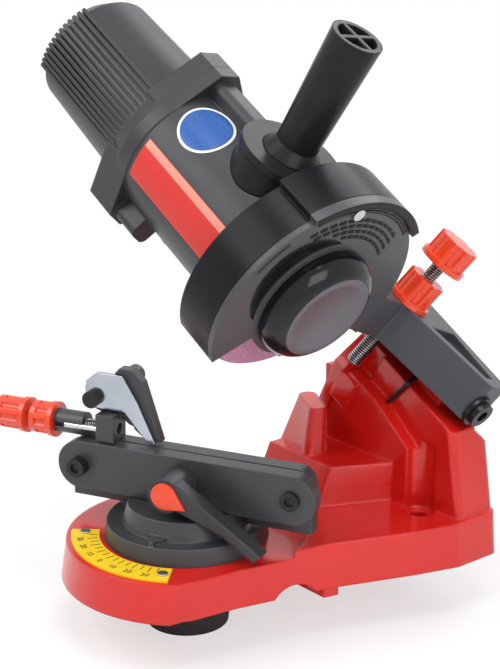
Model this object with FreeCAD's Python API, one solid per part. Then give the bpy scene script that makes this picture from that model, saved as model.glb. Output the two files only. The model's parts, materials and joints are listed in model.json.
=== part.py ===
import FreeCAD, Part
import math
import os

os.makedirs("parts", exist_ok=True)

# Driving dimensions, in millimetres. +X is the operator's right, +Y the rear, +Z up.
wheel_r = 52.5
wheel_t = 3.2
wheel_bore_r = 11.1
vise_turn = 26.0
head_tilt = 30.0
head_raise = 27.0

# Base casting, measured from the swivel axis of the vise on the bench plane.
bolt_y = 106.0
bolt_right_x = 63.0
bolt_left_x = -17.0
bolt_hole_r = 4.5
bolt_boss_r = 9.0
lobe_r_top = 62.0
lobe_r_low = 65.0
lobe_top = 20.0
floor_top = 24.0
wall = 5.0
rear_y = 139.0
left_x = -30.0

# Vise.
table_r = 42.5
jaw_top = 65.0
jaw_h = 26.0
jaw_gap = 1.6
jaw_t = 8.4
jaw_half = 72.0
jaw_shift = 2.5
jaw_bolt_x = 59.0
stop_z = 71.5

# Head, measured from the hinge axis; the head is drawn level and then raised.
hinge_y = 125.3
hinge_w = 55.7
reach = 115.8
rise = 5.0
pin_r = 4.0
run = 0.05
fit_gap = 0.3
motor_r = 37.0
guard_r = 57.0
guard_back = -14.0
guard_front = 10.0
cover_t = 3.0
flange_s = -104.0
ear_t = 11.5
flange_back = flange_s - ear_t
cap_end = -190.0
shaft_r = 6.0


def vec(x, y, z):
    return FreeCAD.Vector(x, y, z)


def turn(axis, angle):
    return FreeCAD.Rotation(axis, angle)


X = vec(1, 0, 0)
Y = vec(0, 1, 0)
Z = vec(0, 0, 1)

# Frames: the origin of the part is the middle of the two bench bolts, on the bench.
bolt_mid_x = (bolt_right_x + bolt_left_x) / 2
base_at = FreeCAD.Placement(vec(-bolt_mid_x, -bolt_y, 0), FreeCAD.Rotation())
vise_at = base_at.multiply(FreeCAD.Placement(vec(0, 0, 0), turn(Z, vise_turn)))
tilt_at = base_at.multiply(FreeCAD.Placement(vec(0, 0, jaw_top), turn(Y, head_tilt)))
head_at = tilt_at.multiply(FreeCAD.Placement(vec(0, hinge_y, hinge_w), turn(X, -head_raise)))
motor_at = head_at.multiply(FreeCAD.Placement(vec(0, -reach, rise), FreeCAD.Rotation()))


def box(x0, x1, y0, y1, z0, z1):
    return Part.makeBox(x1 - x0, y1 - y0, z1 - z0, vec(x0, y0, z0))


def cyl_x(r, x0, x1, y=0, z=0):
    return Part.makeCylinder(r, x1 - x0, vec(x0, y, z), X)


def cyl_y(r, y0, y1, x=0, z=0):
    return Part.makeCylinder(r, y1 - y0, vec(x, y0, z), Y)


def cyl_z(r, z0, z1, x=0, y=0):
    return Part.makeCylinder(r, z1 - z0, vec(x, y, z0), Z)


def cone_x(r0, r1, x0, x1, y=0, z=0):
    return Part.makeCone(r0, r1, x1 - x0, vec(x0, y, z), X)


def cone_z(r0, r1, z0, z1, x=0, y=0):
    return Part.makeCone(r0, r1, z1 - z0, vec(x, y, z0), Z)


def ring_x(r_out, r_in, x0, x1, y=0, z=0):
    return cyl_x(r_out, x0, x1, y, z).cut(cyl_x(r_in, x0 - 1, x1 + 1, y, z))


def polygon(points):
    return Part.makePolygon([vec(*p) for p in points] + [vec(*points[0])])


def prism(points, along):
    return Part.Face(polygon(points)).extrude(along)


def prism_z(points, z0, z1):
    return prism([(x, y, z0) for x, y in points], vec(0, 0, z1 - z0))


def prism_x(points, x0, x1):
    return prism([(x0, y, z) for y, z in points], vec(x1 - x0, 0, 0))


def prism_y(points, y0, y1):
    return prism([(x, y0, z) for x, z in points], vec(0, y1 - y0, 0))


def loft_z(low, z0, high, z1):
    wires = [polygon([(x, y, z0) for x, y in low]), polygon([(x, y, z1) for x, y in high])]
    return Part.makeLoft(wires, True, True)


def rounded(shape, radius, test):
    edges = [e for e in shape.Edges if test(e)]
    return shape.makeFillet(radius, edges)


def edge_dir(edge):
    ends = edge.Vertexes
    way = ends[-1].Point.sub(ends[0].Point)
    return way.normalize() if way.Length > 1e-6 else way


def upright(edge):
    return abs(edge_dir(edge).z) > 0.8


def fuse(first, others):
    return first.multiFuse(others).removeSplitter()


def polar(r, angle):
    a = math.radians(angle)
    return r * math.cos(a), r * math.sin(a)


def fluted_x(r, depth, count, x0, x1, y=0, z=0):
    knob = cyl_x(r, x0, x1, y, z)
    flutes = []
    for i in range(count):
        dy, dz = polar(r + depth, 360.0 * i / count)
        flutes.append(cyl_x(2.2 * depth, x0 + 3, x1 + 1, y + dy, z + dz))
    return knob.cut(Part.Compound(flutes))


def export(name, solids, place):
    group = solids if isinstance(solids, list) else [solids]
    out = []
    for solid in group:
        copy = solid.copy()
        copy.Placement = place.multiply(copy.Placement)
        out.append(copy)
    shape = out[0] if len(out) == 1 else Part.Compound(out)
    shape.exportStep("parts/" + name + ".step")


# Base casting: an open-bottomed shell with a round front lobe, a step, a post and a hinge tower.
right_side = [(47.6, -39.5), (52.5, -10.0), (65.8, 42.0), (82.5, 84.5), (90.5, 109.0), (91.0, rear_y)]
outline = right_side + [(left_x, rear_y), (left_x, 60.0), (-45.0, 30.0), (-48.0, -30.0)]


def inset(points, by):
    cx = sum(p[0] for p in points) / len(points)
    cy = sum(p[1] for p in points) / len(points)
    out = []
    for x, y in points:
        length = math.hypot(x - cx, y - cy)
        out.append((x - by * (x - cx) / length, y - by * (y - cy) / length))
    return out


deck = rounded(loft_z(outline, 0, inset(outline, 1.5), floor_top), 5.0, upright)
lobe = cone_z(lobe_r_low, lobe_r_top, 0, lobe_top)
lobe_cut = cyl_z(lobe_r_top + 1.0, lobe_top, floor_top + 1)
beside = [(45.3, -47.4), (46.4, -39.0), (51.2, -10.0), (64.4, 42.0), (100, 42), (100, -80), (60, -80)]
lobe = lobe.cut(prism_z(beside, -1, lobe_top + 1))
body = deck.cut(lobe_cut).fuse(lobe)

step_low = [(-24, 66), (26, 66), (48, 113), (-24, 113)]
step_high = [(-20, 74), (29, 74), (50, 113), (-20, 113)]
step = loft_z(step_low, floor_top - 4, step_high, 46)
shelf = prism_y([(-8, floor_top), (58, floor_top), (58, 54), (29, 78), (10, 88), (-8, 88)], 104, 118)
post_low = [(-31, 78), (14, 66), (16, 82), (-31, 96)]
post_high = [(-17.5, 92), (7.5, 79.5), (10.5, 89), (-14.5, 101)]
post = rounded(loft_z(post_low, floor_top - 4, post_high, 71), 4.0, upright)


def tilt_xz(s, w):
    a = math.radians(head_tilt)
    x = s * math.cos(a) + w * math.sin(a)
    z = jaw_top - s * math.sin(a) + w * math.cos(a)
    return x, z


# Tower: the transverse wall under the hinge, its left cheek and the knuckle that carries the pin.
tower_w = 43.5
knuckle_s0, knuckle_s1 = 28.0, 46.7
cheek_s0, cheek_s1 = -12.0, -4.5
top_right = tilt_xz(66.0, tower_w)
top_left = tilt_xz(cheek_s0, tower_w)
tower = prism_y([(2, 0), (90.5, 0), top_right, top_left, (6, 90)], 112, rear_y)


def right_rim(edge):
    return edge.CenterOfMass.x > 70 and edge.CenterOfMass.z > 5 and abs(edge_dir(edge).y) < 0.5


tower = rounded(tower, 4.0, right_rim)

cheek_profile = [(104, -12), (100.5, 26), (113, 43.5), (126, 43.5), (126, -12)]
cheek = prism_x(cheek_profile, cheek_s0, cheek_s1)
lug_top, stop_s = 24.0, 1.0
lug = prism_x([(101, 6), (101, lug_top), (116, lug_top), (116, 6)], cheek_s1 - 1, stop_s + 6)
stalk = prism_x([(hinge_y - 6.4, tower_w - 4), (hinge_y - 6.4, hinge_w), (hinge_y + 6.4, hinge_w),
                 (hinge_y + 6.4, tower_w - 4)], knuckle_s0, knuckle_s1)
knuckle = cyl_x(7.0, knuckle_s0, knuckle_s1, hinge_y, hinge_w)
rear_relief = prism_x([(hinge_y + 4, 60), (hinge_y + 4, 42), (rear_y + 6, 30), (rear_y + 6, 60)], -40, 90)
tilted = []
groove = box(stop_s - 6, stop_s + 6, 108, 114, lug_top, tower_w + 8)
for piece in (cheek, lug, stalk, knuckle, rear_relief, groove):
    piece.Placement = base_at.inverse().multiply(tilt_at).multiply(piece.Placement)
    tilted.append(piece)
cheek, lug, stalk, knuckle, rear_relief, groove = tilted
tower = tower.cut(rear_relief).cut(groove)

lip = prism_z([(-40, 38), (64, 38), (66, 46), (-38, 46)], -5, 6)
casting = fuse(body, [step, shelf, post, tower, cheek, lug, stalk, knuckle, lip])

# Hollow underside, bench bolt holes, pin bore and swivel bore.
pocket = loft_z(inset(outline, wall + 2), -6, inset(outline, wall + 4), floor_top - wall)
pocket = pocket.cut(cyl_z(lobe_r_top + 4, lobe_top - wall, floor_top))
pocket = pocket.cut(box(-60, 90, 36, 47, -8, floor_top))
tower_pocket = prism_y([(14, -1), (80, -1), (72, 66), (26, 92)], 117, rear_y - 5)
tower_pocket = tower_pocket.cut(rear_relief)
bosses = [cyl_z(bolt_boss_r, 0, floor_top - 1, x, bolt_y) for x in (bolt_left_x, bolt_right_x)]
bosses.append(cyl_z(15, 0, lobe_top - 1))
casting = casting.cut(pocket).cut(tower_pocket)
casting = fuse(casting, bosses)
holes = [cyl_z(bolt_hole_r, -1, 60, x, bolt_y) for x in (bolt_left_x, bolt_right_x)]
holes += [cyl_z(bolt_boss_r - 1, floor_top - 2, 60, x, bolt_y) for x in (bolt_left_x, bolt_right_x)]
holes.append(cyl_z(5.0 + run, -8, 40))
holes.append(cyl_x(14.0, 42, 80, 22, -8))
pin_bore = cyl_x(pin_r + run, knuckle_s0 - 1, knuckle_s1 + 1, hinge_y, hinge_w)
pin_bore.Placement = base_at.inverse().multiply(tilt_at).multiply(pin_bore.Placement)
holes.append(pin_bore)
casting = casting.cut(Part.Compound(holes)).removeSplitter()
export("base_casting", casting, base_at)

# Angle scale on the lobe, with its two screws.
scale_half = 43.0


def sector_z(r_in, r_out, mid, half, z0, z1):
    arc = Part.makeCylinder(r_out, z1 - z0, vec(0, 0, z0), Z, 2 * half)
    arc.rotate(vec(0, 0, 0), Z, mid - half)
    return arc.cut(cyl_z(r_in, z0 - 1, z1 + 1))


scale_in, scale_out = table_r + 2.5, lobe_r_top - 2.5
scale_mid = (scale_in + scale_out) / 2
scale_screw_at = [polar(scale_mid, -90 + side * (scale_half - 4)) for side in (-1, 1)]
scale = sector_z(scale_in, scale_out, -90, scale_half, lobe_top, lobe_top + 1.0)
scale = scale.cut(Part.Compound([cyl_z(1.5, lobe_top - 1, lobe_top + 2, x, y) for x, y in scale_screw_at]))
export("scale_plate", scale, base_at)
scale_screws = [cyl_z(2.6, lobe_top + 1, lobe_top + 2, x, y).fuse(cyl_z(1.5, lobe_top, lobe_top + 1, x, y))
                for x, y in scale_screw_at]
export("scale_screws", scale_screws, base_at)

# Return spring: a torsion coil round the hinge pin with one leg down to the tower shelf.
wire_r = 1.2
coil_r = 6.4
coil_pitch = 2.9
coil_turns = 4
coil_s0 = 14.6
leg_angle = 221.0
leg_len = 24.0


def coil_point(t):
    y, w = polar(coil_r, leg_angle + 90 - 360.0 * (coil_turns - t))
    return vec(coil_s0 + coil_pitch * t, hinge_y + y, hinge_w + w)


def coil_arc(t0, t1):
    return Part.Arc(coil_point(t0), coil_point((t0 + t1) / 2), coil_point(t1)).toShape()


coil_path = [coil_arc(i / 4.0, (i + 1) / 4.0) for i in range(4 * coil_turns)]
leg_start = coil_point(coil_turns)
leg_y, leg_w = polar(leg_len, leg_angle)
coil_path.append(Part.makeLine(leg_start, leg_start.add(vec(0, leg_y, leg_w))))
first = coil_point(0)
start_way = coil_point(0.02).sub(first)
wire_ring = Part.Wire(Part.makeCircle(wire_r, first, start_way))
spring = Part.Wire(coil_path).makePipeShell([wire_ring], True, False)
export("return_spring", spring, tilt_at)
turn_gap = coil_pitch - 2 * wire_r
print("return spring gap between turns", round(turn_gap, 2), "mm", spring.isValid())

# Vise: turntable, stud and lock knob, two jaws, clamp lever and chain stop.
stud_r = 5.0
table_low = lobe_top + run
table_top = 29.0
hub_top = 38.6
table = cone_z(table_r, table_r - 1.5, table_low, table_top)
hub = cone_z(33.0, 30.0, table_top - 0.5, hub_top)
tip_y = 2 - table_r
tip = [(-6, -31), (-1.2, -38), (-1.2, tip_y), (1.2, tip_y), (1.2, -38), (6, -31)]
pointer = prism_z(tip, table_top - 1, table_top + 2.5)
table = fuse(table, [hub, pointer])
table = table.cut(cyl_z(stud_r, table_low - 1, hub_top - 3))
export("turntable", table, vise_at)

stud_low = -16.0
stud = cyl_z(stud_r, stud_low, hub_top - 3)
export("swivel_stud", stud, vise_at)

knob_r = 23.5
knob_low, knob_top = -28.0, -12.0
knob = fuse(cone_z(knob_r - 2, knob_r, knob_low, knob_top), [cyl_z(13.0, knob_top - 1, -run)])
grips = [cyl_z(3.0, knob_low - 1, knob_top + 1, *polar(knob_r + 1.5, 45.0 * i)) for i in range(8)]
knob = knob.cut(Part.Compound(grips + [cyl_z(stud_r + run, stud_low - fit_gap, 10)]))
export("swivel_knob", knob, vise_at)

half_gap = jaw_gap / 2
jaw_back = half_gap + jaw_t
jaw_low = jaw_top - jaw_h
bolt_z = jaw_top - jaw_h / 2
lever_x = 2.0
bolt_xs = [jaw_shift - jaw_bolt_x, jaw_shift + jaw_bolt_x]
bolt_r = 3.0
fixed = box(-66, 69, half_gap, jaw_back, 31, jaw_top)
fixed = rounded(fixed, 9.0, lambda e: abs(edge_dir(e).y) > 0.9 and e.CenterOfMass.z > 60)
fixed = fixed.cut(cyl_z(34.0, 20, hub_top))
fixed = fixed.cut(Part.Compound([cyl_y(bolt_r, 0, 20, x, bolt_z) for x in bolt_xs]))
fixed = fixed.cut(cyl_y(bolt_r + run, 0, 20, lever_x, bolt_z))
export("fixed_jaw", fixed, vise_at)

moving = box(jaw_shift - jaw_half, jaw_shift + jaw_half, -jaw_back, -half_gap, jaw_low, jaw_top)
moving = rounded(moving, jaw_h / 2 - 0.2, lambda e: abs(edge_dir(e).y) > 0.9)
bores = [cyl_y(bolt_r + run, -20, 0, x, bolt_z) for x in bolt_xs + [lever_x]]
moving = moving.cut(Part.Compound(bores))
export("moving_jaw", moving, vise_at)

socket_r = 2.6


def cap_bolt(x, head_h):
    shank = cyl_y(bolt_r, -jaw_back - run, jaw_back, x, bolt_z)
    head = cyl_y(5.0, -jaw_back - head_h, -jaw_back - run, x, bolt_z)
    return head.fuse(shank).cut(cyl_y(socket_r, -jaw_back - head_h - 1, -jaw_back - head_h + 1.5, x, bolt_z))


export("jaw_bolts", [cap_bolt(bolt_xs[0], 6.0), cap_bolt(bolt_xs[1], 2.0)], vise_at)

lever_back = -jaw_back - run
lever_front = -29.0
lever_hub = cyl_y(9.0, lever_front, lever_back, lever_x, bolt_z)
arm_far = [(47, 33), (54, 28.0), (49.5, 24.4), (33, 35.2), (-4, 48.8), (-4, 58), (6, 60)]
lever_arm = prism_y(arm_far, lever_front, lever_front + 9)
lever_arm = rounded(lever_arm, 1.5, lambda e: abs(edge_dir(e).y) < 0.1 and e.CenterOfMass.y < lever_front + 1)
lever = fuse(lever_hub, [lever_arm]).cut(cyl_y(bolt_r, lever_front + 3, 0, lever_x, bolt_z))
export("clamp_lever", lever, vise_at)

insert = cone_x(8.0, 6.0, 0, 2.0)
insert.rotate(vec(0, 0, 0), Z, -90)
insert.translate(vec(lever_x, lever_front, bolt_z))
point = prism_y([(lever_x - 6, bolt_z + 4), (lever_x - 6, bolt_z - 4), (lever_x + 15, bolt_z - 9)],
                lever_front - 1.6, lever_front)
export("lever_insert", fuse(insert, [point]), vise_at)

nut_t = 5.0
clamp_stud = cyl_y(bolt_r, lever_front + 3, jaw_back + nut_t + 1.5, lever_x, bolt_z)
export("clamp_stud", clamp_stud, vise_at)


def hex_y(across, y0, y1, x, z):
    corners = [polar(across / math.sqrt(3), 60.0 * i) for i in range(6)]
    return prism_y([(x + a, z + b) for a, b in corners], y0, y1)


nut = hex_y(10.0, jaw_back, jaw_back + nut_t, lever_x, bolt_z)
export("clamp_nut", nut.cut(cyl_y(bolt_r + run, 0, 30, lever_x, bolt_z)), vise_at)

# Chain stop on the left end of the fixed jaw.
sleeve_r = 6.2
screw_r = 3.0
rod_r = 1.6
rod_out = 5.0
sleeve_x0, sleeve_x1 = -74.0, -57.0
rod_ys = (-rod_out, rod_out)
sleeve = cyl_x(sleeve_r, sleeve_x0, sleeve_x1, 0, stop_z)
foot = box(sleeve_x0 + 8, sleeve_x1, half_gap + 0.2, jaw_back, jaw_top, stop_z)
bracket = fuse(sleeve, [foot])
bracket = bracket.cut(cyl_x(screw_r + run, -90, -40, 0, stop_z))
bracket = bracket.cut(Part.Compound([cyl_x(rod_r + run, -90, -40, y, stop_z) for y in rod_ys]))
export("stop_bracket", bracket, vise_at)

block_x0, block_x1 = -48.0, -38.0
lip_t = 3.0
lock_x1 = sleeve_x0 - lip_t
lock_x0 = lock_x1 - 10.5
knob_x1 = lock_x0 - 3.5
grip_x1 = knob_x1 - lip_t
grip_x0 = grip_x1 - 14.5
screw_x0 = grip_x0 + 4.5
stop_screw = cyl_x(screw_r, screw_x0, block_x1 - 4, 0, stop_z)
export("stop_screw", stop_screw, vise_at)
stop_knob = fluted_x(8.5, 1.0, 8, grip_x0, grip_x1, 0, stop_z).fuse(cyl_x(9.4, grip_x1, knob_x1, 0, stop_z))
export("stop_knob", stop_knob.cut(cyl_x(screw_r, screw_x0, knob_x1 + 1, 0, stop_z)), vise_at)
lock_knob = fluted_x(8.5, 1.0, 8, lock_x0, lock_x1, 0, stop_z)
lock_knob = lock_knob.fuse(cyl_x(9.4, lock_x1, sleeve_x0 - run, 0, stop_z))
lock_bore = cyl_x(screw_r + run, lock_x0 - 1, sleeve_x0 + 1, 0, stop_z)
export("stop_lock_knob", lock_knob.cut(lock_bore), vise_at)

pawl_x, pawl_z = -52.0, 87.0
pawl_half = 1.3
plate_y0, plate_y1 = pawl_half + run, 7.0
carriage = box(block_x0, block_x1, -7, 7, jaw_top + 0.6, stop_z + sleeve_r + 2.5)
profile = [(-58, 82), (-58, 92), (-45, 96), (-38, 104), (-31, 104), (-25, 98), (-15, 67), (-23, 67),
           (-35, 76), (-48, 79)]
carriage = fuse(carriage, [prism_y(profile, plate_y0, plate_y1), cyl_y(5.0, plate_y0, 13.0, -34, 98.5)])
carriage = carriage.cut(cyl_x(screw_r + run, -60, -30, 0, stop_z))
carriage = carriage.cut(Part.Compound([cyl_x(rod_r, -60, block_x1 - 2, y, stop_z) for y in rod_ys]))
carriage = carriage.cut(cyl_y(2.0, -20, 20, pawl_x, pawl_z))
export("stop_carriage", carriage, vise_at)
export("guide_rods", [cyl_x(rod_r, sleeve_x0 + 7, block_x1 - 2, y, stop_z) for y in rod_ys], vise_at)

pawl_side = [(-57, 82), (-56, 96), (-50, 101), (-35, 101), (-27, 88), (-17, 66.8), (-21, 66.8), (-34, 81.5)]
pawl = prism_y(pawl_side, -pawl_half, pawl_half)
export("pawl", pawl.cut(cyl_y(2.0 + run, -20, 20, pawl_x, pawl_z)), vise_at)
pawl_pin = cyl_y(4.5, -pawl_half - 4, -pawl_half - run, pawl_x, pawl_z)
pawl_pin = pawl_pin.fuse(cyl_y(2.0, -pawl_half - 1, plate_y1, pawl_x, pawl_z))
export("pawl_pin", pawl_pin, vise_at)

# Hinge arm of the head, with the pin, the depth screw and its two knobs.
arm_end = 63.5
arm_low, arm_top = -8.0, 15.5
slot_s0, slot_s1 = 13.0, 47.2
arm_front = guard_r - reach - 5.2
plan = [(-14, arm_front), (5, arm_front), (6, -25.7), (arm_end, -5.5), (arm_end, 12), (arm_end - 7, 19),
        (-14, 19)]
arm = prism_z(plan, arm_low, arm_top)
arm = rounded(arm, 4.0, lambda e: upright(e) and e.CenterOfMass.x > 50)
dish = prism_z([(20, -14), (56, -1), (56, 8), (20, 12)], arm_top - 4, arm_top + 1)
arm = arm.cut(dish)
arm = arm.cut(box(slot_s0, slot_s1, -8.6, 13, arm_low - 1, 8.6))
arm = arm.cut(cyl_x(guard_r, -60, 60, -reach, rise))
screw_q = -17.2
depth_r = 4.0
arm = arm.cut(cyl_z(depth_r + run, -60, 60, stop_s, screw_q))
pin_end = -4.0
arm = arm.cut(cyl_x(pin_r, pin_end, 80))
export("arm", arm, head_at)

bolt_face = 69.0
pin = cyl_x(pin_r, pin_end, arm_end + 2)
pin = fuse(pin, [cyl_x(7.0, arm_end + 2, bolt_face)]).cut(cyl_x(3.4, bolt_face - 2.5, bolt_face + 1))
export("hinge_bolt", pin, head_at)
export("hinge_washer", ring_x(9.0, pin_r, arm_end, arm_end + 2), head_at)

screw_low, screw_high = -28.6, 52.0
export("depth_screw", cyl_z(depth_r, screw_low, screw_high, stop_s, screw_q), head_at)


def fluted_z(r, depth, count, z0, z1, x, y):
    body = fuse(cyl_z(r, z0, z1, x, y), [cyl_z(r + 1.5, z0, z0 + 3, x, y)])
    cuts = []
    for i in range(count):
        dx, dy = polar(r + depth, 360.0 * i / count)
        cuts.append(cyl_z(2.2 * depth, z0 + 3, z1 + 1, x + dx, y + dy))
    return body.cut(Part.Compound(cuts))


depth_knob = fluted_z(11.5, 1.3, 8, 42, 57, stop_s, screw_q)
export("depth_knob", depth_knob.cut(cyl_z(depth_r + run, 40, screw_high + run, stop_s, screw_q)), head_at)
depth_lock = fluted_z(10.5, 1.3, 8, arm_top + run, 32, stop_s, screw_q)
export("depth_lock_knob", depth_lock.cut(cyl_z(depth_r + run, 0, 60, stop_s, screw_q)), head_at)

# Motor: front housing, rear cap, stator, bearings and the spindle that carries the wheel.
lug_angles = (107.0, 255.0, 1.0)
lug_screws = [polar(42.5, angle) for angle in lug_angles]
band_r = motor_r + 0.6
ear_r, ear_half = 49.0, 6.0


def ears(x0, x1):
    """Screw ears of the motor flange, with flat sides tangent to the housing."""
    side = math.atan2(ear_half, ear_r) + math.acos(motor_r / math.hypot(ear_r, ear_half))
    y, z = motor_r * math.cos(side), motor_r * math.sin(side)
    made = []
    for angle in lug_angles:
        ear = prism_x([(0, 0), (y, -z), (ear_r, -ear_half), (ear_r, ear_half), (y, z)], x0, x1)
        ear.rotate(vec(0, 0, 0), X, angle)
        made.append(ear)
    return made


def lug(angle, r, half, x0, x1):
    block = box(x0, x1, 20, r, -half, half)
    block = rounded(block, 4.0, lambda e: abs(edge_dir(e).x) > 0.9 and e.CenterOfMass.y > 21)
    block.rotate(vec(0, 0, 0), X, angle)
    return block


flange_t = 8.0
housing = fuse(cyl_x(motor_r, flange_s, guard_back), [cyl_x(band_r, flange_s, flange_s + flange_t)])
housing = fuse(housing, ears(flange_s, flange_s + flange_t))
ridge_s = flange_s + 4
ridges = [lug(lug_angles[0], 45.0, 7.0, ridge_s, -66.5), lug(lug_angles[1], 47.0, 7.0, ridge_s, -79)]
housing = fuse(housing, ridges)
housing = housing.cut(cyl_x(motor_r - 4, flange_s - 1, guard_back - 5))
bearing_r = 13.0
housing = housing.cut(cyl_x(bearing_r, -30, 10))
housing = housing.cut(Part.Compound([cyl_x(2.0, flange_s - 1, flange_s + 7, y, z) for y, z in lug_screws]))

cap_step = 3.1
barrel_r = band_r - cap_step
rear_r = barrel_r - 2.0
cap = cone_x(rear_r, barrel_r, cap_end + 8, flange_back)
cap = fuse(cap, [cone_x(barrel_r, band_r, flange_back, flange_s)])
cap = fuse(cap, [cone_x(rear_r - 6.5, rear_r, cap_end, cap_end + 8)])
cap = fuse(cap, ears(flange_back, flange_s))
cap = cap.cut(cyl_x(29.5, cap_end + 5, flange_s + 1))
rib_count, rib_start, rib_step = 13, 150.0, 5.2
ribs = []
for i in range(rib_count):
    rib = box(cap_end + 7, flange_back + 4, 32.0, barrel_r + 0.9, -0.95, 0.95)
    rib.rotate(vec(0, 0, 0), X, rib_start + rib_step * i)
    ribs.append(rib)
cap = fuse(cap, ribs)
cap = cap.cut(Part.Compound([cyl_x(2.0, flange_back - 1, flange_s + 1, y, z) for y, z in lug_screws]))
export("motor_cap", cap, motor_at)
cap_screws = [cyl_x(3.8, flange_back - 3, flange_back, y, z).fuse(cyl_x(2.0, flange_back, flange_s + 7, y, z))
              for y, z in lug_screws]
export("cap_screws", cap_screws, motor_at)

rear_bearing = (flange_s + 0.5, flange_s + 8.5)
front_bearing = (guard_back - 8, guard_back)
bearings = [ring_x(bearing_r, shaft_r + run, *ends) for ends in (front_bearing, rear_bearing)]
export("bearings", bearings, motor_at)
carrier = ring_x(motor_r - 4, bearing_r, *rear_bearing)
export("rear_bearing_plate", carrier, motor_at)
export("stator", ring_x(motor_r - 4, 20.0, -88, -42), motor_at)
export("rotor", ring_x(19.6, shaft_r, -86, -44), motor_at)
export("shaft", cyl_x(shaft_r, -146, 9), motor_at)
fan = ring_x(10.0, shaft_r, -144, -130)
blades = []
for i in range(9):
    blade = box(-144, -130, 9, 27, -0.8, 0.8)
    blade.rotate(vec(0, 0, 0), X, 40.0 * i)
    blades.append(blade)
export("fan", fuse(fan, blades), motor_at)
wheel_face = wheel_t / 2
hub_flange = fuse(ring_x(18.0, shaft_r, -8, -wheel_face), [ring_x(wheel_bore_r, shaft_r, -8, wheel_face)])
export("wheel_flange", hub_flange, motor_at)
wheel = fuse(ring_x(wheel_r - 0.8, wheel_bore_r, -wheel_face, wheel_face),
             [ring_x(wheel_r, wheel_bore_r, -wheel_face + 0.8, wheel_face - 0.8)])
export("grinding_wheel", wheel, motor_at)
wheel_nut = ring_x(16.0, shaft_r, wheel_face, 8.0)
export("wheel_nut", wheel_nut, motor_at)

# Guard drum and its cover, open below so that the wheel meets the chain.
open_mid, open_half = 293.0, 57.0
hump_r, hump_mid, hump_half = 61.5, 100.5, 40.5


def sector_x(r, mid, half, x0, x1):
    wedge = Part.makeCylinder(r, x1 - x0, vec(0, 0, 0), Z, 2 * half)
    wedge.rotate(vec(0, 0, 0), Z, mid - half)
    wedge.rotate(vec(0, 0, 0), vec(1, 1, 1), 120)
    wedge.translate(vec(x0, 0, 0))
    return wedge


mouth = sector_x(90, open_mid, open_half, guard_back - 1, 30).cut(cyl_x(34.0, -40, 40))
hump = sector_x(hump_r, hump_mid, hump_half, guard_back, guard_front)
guard = fuse(cyl_x(guard_r, guard_back, guard_front), [hump])
guard = guard.cut(cyl_x(guard_r - 3, guard_back + 3, guard_front + 1))
guard = guard.cut(cyl_x(bearing_r, -30, 10)).cut(mouth)
export("wheel_guard", guard, motor_at)
cover_front = guard_front + cover_t
cover_hump = sector_x(hump_r, hump_mid, hump_half, guard_front, cover_front + 2.2)
cover_hump = cover_hump.cut(cyl_x(guard_r + 0.5, cover_front, 30))
window = cyl_x(27.0, cover_front - 1.2, 30, *polar(21.2, 164.0)).cut(cyl_x(35.0, 0, 30))
cover = fuse(cyl_x(guard_r, guard_front, cover_front), [cover_hump]).cut(window)
cover = cover.cut(mouth).cut(cyl_x(22.0, 0, 30))
screw_spots = [polar(54.0, 114.6), polar(31.5, 285.0)]
cover = cover.cut(Part.Compound([cyl_x(1.6, 0, 30, y, z) for y, z in screw_spots]))
cap_front = 25.4
shoulder = Part.Arc(vec(cover_front, 0, 31), vec(21.0, 0, 29.2), vec(cap_front, 0, 24)).toShape()
dome_sides = [Part.makeLine(vec(cover_front, 0, 0), vec(cover_front, 0, 31)), shoulder,
              Part.makeLine(vec(cap_front, 0, 24), vec(cap_front, 0, 0)),
              Part.makeLine(vec(cap_front, 0, 0), vec(cover_front, 0, 0))]
dome = Part.Face(Part.Wire(dome_sides)).revolve(vec(0, 0, 0), X, 360)
dome = dome.cut(cyl_x(20.0, 0, 22.5))
dome = dome.cut(cyl_x(3.4, 0, 30, *screw_spots[1]))
export("guard_cover", cover, motor_at)
export("hub_cap", dome, motor_at)
cover_screws = []
for y, z in screw_spots:
    screw_head = cyl_x(3.2, cover_front, cover_front + 2, y, z)
    cover_screws.append(screw_head.fuse(cyl_x(1.6, guard_front, cover_front, y, z)))
export("cover_screws", cover_screws, motor_at)

# Handle on a disc that stands on the motor housing.
handle_s = -40.0
handle_lean = 18.5
disc_r = 46.0
handle_end = 113.0
handle_at = motor_at.multiply(FreeCAD.Placement(vec(handle_s, 0, 0), turn(X, handle_lean)))
boss = fuse(cyl_z(25.0, 20, disc_r - 4), [cyl_z(26.0, disc_r - 4, disc_r)])
boss = boss.cut(cyl_x(motor_r, -60, 60))
export("handle_base", boss, handle_at)
grip = fuse(cone_z(10.6, 12.9, disc_r, handle_end), [cone_z(15.5, 10.8, disc_r, disc_r + 6)])
bore = cyl_z(10.0, handle_end - 24, handle_end + 1)
cross_low = handle_end - 25
cross = [box(-1.2, 1.2, -10, 10, cross_low, handle_end), box(-10, 10, -1.2, 1.2, cross_low, handle_end)]
grip = grip.cut(bore.cut(Part.Compound(cross)))
export("handle", grip, handle_at)

# Switch and cable inlet on the side of the motor away from the camera.
switch_at = motor_at.multiply(FreeCAD.Placement(vec(-74, 0, 0), turn(X, -20)))
frame = box(-16, 16, motor_r - 3, motor_r + 7, -11, 11)
seat = box(-11, 11, motor_r + 1, motor_r + 9, -7, 7)
housing_cut = frame.copy()
housing_cut.Placement = motor_at.inverse().multiply(switch_at)
rocker_y = motor_r + 5.5
export("switch_frame", frame.cut(seat).cut(cyl_z(1.5 + run, -8, 8, 0, rocker_y)), switch_at)
rocker = box(-10.2, 10.2, motor_r + 3.5, motor_r + 9, -6.7, 6.7)
rocker = rocker.cut(prism_z([(-11, motor_r + 9.1), (11, motor_r + 9.1), (0, motor_r + 7)], -7, 7))
export("switch_rocker", rocker.fuse(cyl_z(1.5, -7.8, 7.8, 0, rocker_y)), switch_at)
gland_at = motor_at.multiply(FreeCAD.Placement(vec(-84, 0, 0), turn(X, -62)))
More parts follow.
